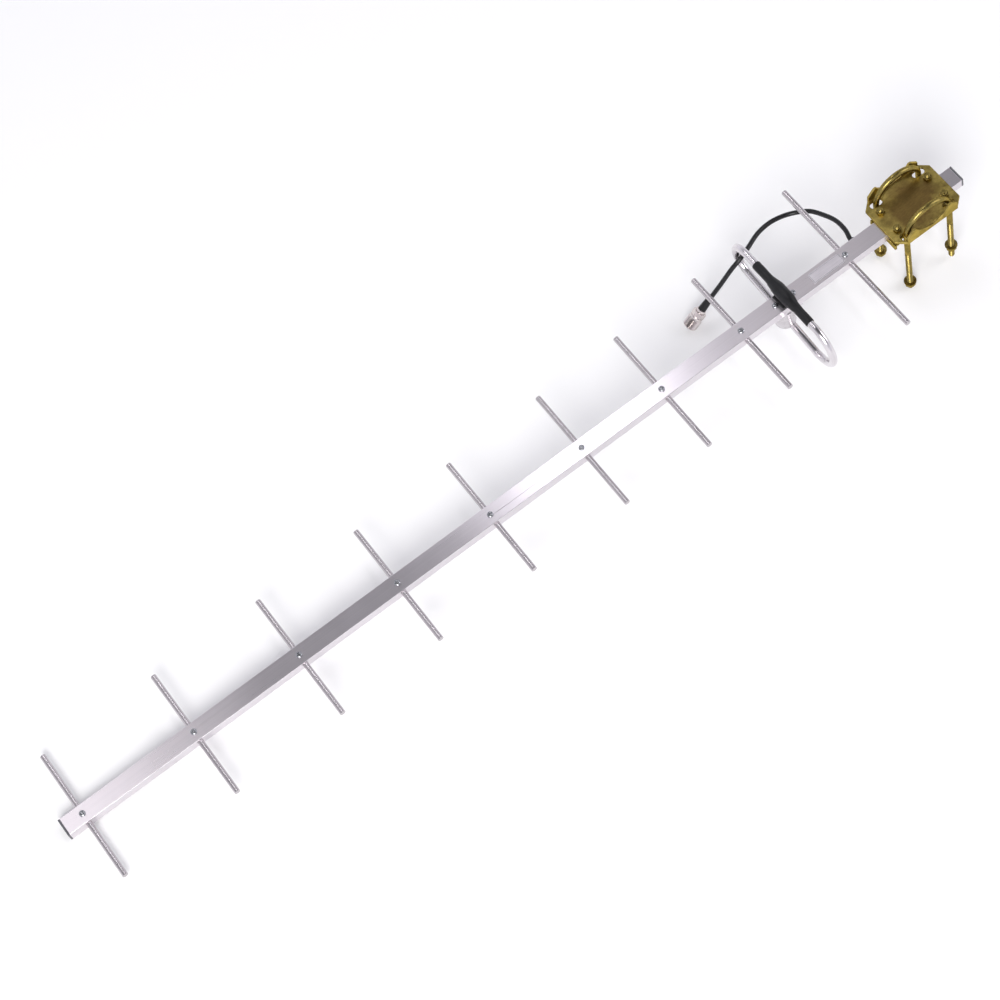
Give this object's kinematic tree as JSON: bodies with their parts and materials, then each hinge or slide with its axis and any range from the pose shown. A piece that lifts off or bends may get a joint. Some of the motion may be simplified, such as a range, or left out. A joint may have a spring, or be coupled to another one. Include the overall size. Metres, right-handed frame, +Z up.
{
  "type": "yagi antenna",
  "caption": "Directional yagi antenna: rod elements through a box boom, folded dipole, coax pigtail with threaded jack, and a saddle clamp with U-bolts for a round mast.",
  "frame": {"origin": "on the table, under the middle of the antenna's box (lead and jack left out)", "axes": "+X from the mast clamp to the boom's front end, +Y along the elements, +Z up from the table; the boom falls 5 degrees towards +X because the part lies on its U-bolt tips and its front end"},
  "size_m": [1.0908, 0.198, 0.1334],
  "materials": {
    "boom_aluminium": "satin extruded",
    "cap_plastic": "matte moulded",
    "rod_aluminium": "bright drawn",
    "zinc_screw": "bright zinc",
    "label_foil": "satin foil",
    "dipole_aluminium": "satin drawn",
    "black_plastic": "matte moulded",
    "shrink_sleeve": "satin",
    "yellow_zinc_plate": "yellow passivated zinc",
    "yellow_zinc_hardware": "yellow passivated zinc",
    "rubber": "matte",
    "thin_coax": "gloss",
    "coax_jacket": "gloss",
    "nickel": "bright nickel",
    "ptfe": "smooth",
    "gold_contact": "gold plated"
  },
  "bodies": {
    "antenna": {"boom_tube": "boom_aluminium", "front_cap": "cap_plastic", "rear_cap": "cap_plastic", "reflector_rod": "rod_aluminium", "director_1": "rod_aluminium", "director_2": "rod_aluminium", "director_3": "rod_aluminium", "director_4": "rod_aluminium", "director_5": "rod_aluminium", "director_6": "rod_aluminium", "director_7": "rod_aluminium", "director_8": "rod_aluminium", "element_screws": "zinc_screw", "label_plate": "label_foil", "dipole_loop": "dipole_aluminium", "feed_block": "black_plastic", "feed_sleeve": "shrink_sleeve", "dipole_pad": "black_plastic", "dipole_post": "dipole_aluminium", "dipole_screws": "zinc_screw", "mast_plate": "yellow_zinc_plate", "boom_strap": "yellow_zinc_plate", "clamp_bolts": "yellow_zinc_hardware", "clamp_nuts": "yellow_zinc_hardware", "cable_grommet": "rubber", "inner_coax": "thin_coax", "coax_lead": "coax_jacket", "lead_boot": "shrink_sleeve", "jack_body": "nickel", "jack_insulator": "ptfe", "jack_contact": "gold_contact"},
    "near_ubolt": {"ubolt_near": "yellow_zinc_hardware"},
    "far_ubolt": {"ubolt_far": "yellow_zinc_hardware"},
    "washer_1": {"leg_washer_1": "yellow_zinc_hardware"},
    "nut_1": {"leg_nut_1": "yellow_zinc_hardware"},
    "washer_2": {"leg_washer_2": "yellow_zinc_hardware"},
    "nut_2": {"leg_nut_2": "yellow_zinc_hardware"},
    "washer_3": {"leg_washer_3": "yellow_zinc_hardware"},
    "nut_3": {"leg_nut_3": "yellow_zinc_hardware"},
    "washer_4": {"leg_washer_4": "yellow_zinc_hardware"},
    "nut_4": {"leg_nut_4": "yellow_zinc_hardware"}
  },
  "joints": [
    {"name": "near_ubolt_slide", "type": "slide", "parent": "antenna", "child": "near_ubolt", "axis": [0.0871, 0, 0.9962], "range_m": [0, 0.03]},
    {"name": "far_ubolt_slide", "type": "slide", "parent": "antenna", "child": "far_ubolt", "axis": [0.0871, 0, 0.9962], "range_m": [0, 0.03]},
    {"name": "washer_travel_1", "type": "slide", "parent": "near_ubolt", "child": "washer_1", "axis": [0.0871, 0, 0.9962], "range_m": [0, 0.06]},
    {"name": "nut_spin_1", "type": "hinge", "parent": "washer_1", "child": "nut_1", "pos_m": [-0.46873, 0.024, 0.00825], "axis": [0.0871, 0, 0.9962], "range_deg": [0, 17009]},
    {"name": "washer_travel_2", "type": "slide", "parent": "near_ubolt", "child": "washer_2", "axis": [0.0871, 0, 0.9962], "range_m": [0, 0.048]},
    {"name": "nut_spin_2", "type": "hinge", "parent": "washer_2", "child": "nut_2", "pos_m": [-0.52148, 0.024, 0.0249], "axis": [0.0871, 0, 0.9962], "range_deg": [0, 13608]},
    {"name": "washer_travel_3", "type": "slide", "parent": "far_ubolt", "child": "washer_3", "axis": [0.0871, 0, 0.9962], "range_m": [0, 0.06]},
    {"name": "nut_spin_3", "type": "hinge", "parent": "washer_3", "child": "nut_3", "pos_m": [-0.46873, -0.024, 0.00825], "axis": [0.0871, 0, 0.9962], "range_deg": [0, 17009]},
    {"name": "washer_travel_4", "type": "slide", "parent": "far_ubolt", "child": "washer_4", "axis": [0.0871, 0, 0.9962], "range_m": [0, 0.048]},
    {"name": "nut_spin_4", "type": "hinge", "parent": "washer_4", "child": "nut_4", "pos_m": [-0.52148, -0.024, 0.0249], "axis": [0.0871, 0, 0.9962], "range_deg": [0, 13608]}
  ],
  "couplings": [
    {"joint": "nut_spin_1", "follows": "washer_travel_1", "rad_per_m": 4947.4},
    {"joint": "nut_spin_2", "follows": "washer_travel_2", "rad_per_m": 4947.4},
    {"joint": "nut_spin_3", "follows": "washer_travel_3", "rad_per_m": 4947.4},
    {"joint": "nut_spin_4", "follows": "washer_travel_4", "rad_per_m": 4947.4}
  ]
}
